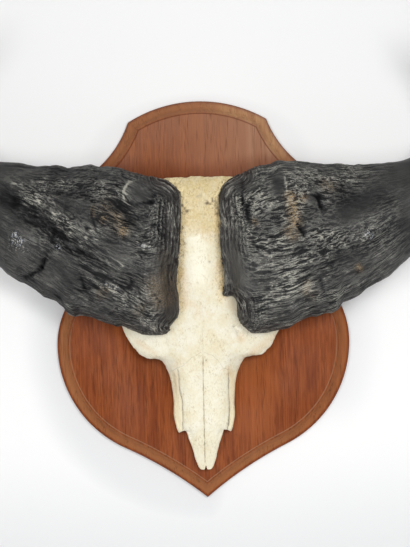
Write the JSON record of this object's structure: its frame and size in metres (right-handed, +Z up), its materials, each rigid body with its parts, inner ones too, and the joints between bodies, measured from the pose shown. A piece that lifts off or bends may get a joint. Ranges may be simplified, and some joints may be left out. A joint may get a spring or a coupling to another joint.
{
  "type": "horned skull wall mount",
  "caption": "Bleached buffalo skull with two broad dark horns, fixed to a carved heart-shaped hardwood wall board.",
  "frame": {"origin": "middle of the board's flat back face, on its vertical centreline, halfway between the top of the arch and the lower tip", "axes": "+Z up the wall, +X to the viewer's right along the spread of the horns, +Y into the wall; the face looks along -Y"},
  "size_m": [0.9092, 0.252, 0.766],
  "materials": {
    "board": "reddish-brown stained hardwood, satin",
    "bone": "bleached dry bone, matte",
    "horn": "rough dark horn with worn, slightly glossy knobs",
    "hardware": "zinc-plated steel"
  },
  "bodies": {
    "root": {"shield": "board", "skull": "bone", "horn_left": "horn", "horn_right": "horn", "hanger_plate": "hardware", "hanger_screw_upper": "hardware", "hanger_screw_lower": "hardware", "skull_screw_upper": "hardware", "skull_screw_left": "hardware", "skull_screw_right": "hardware"}
  },
  "joints": []
}
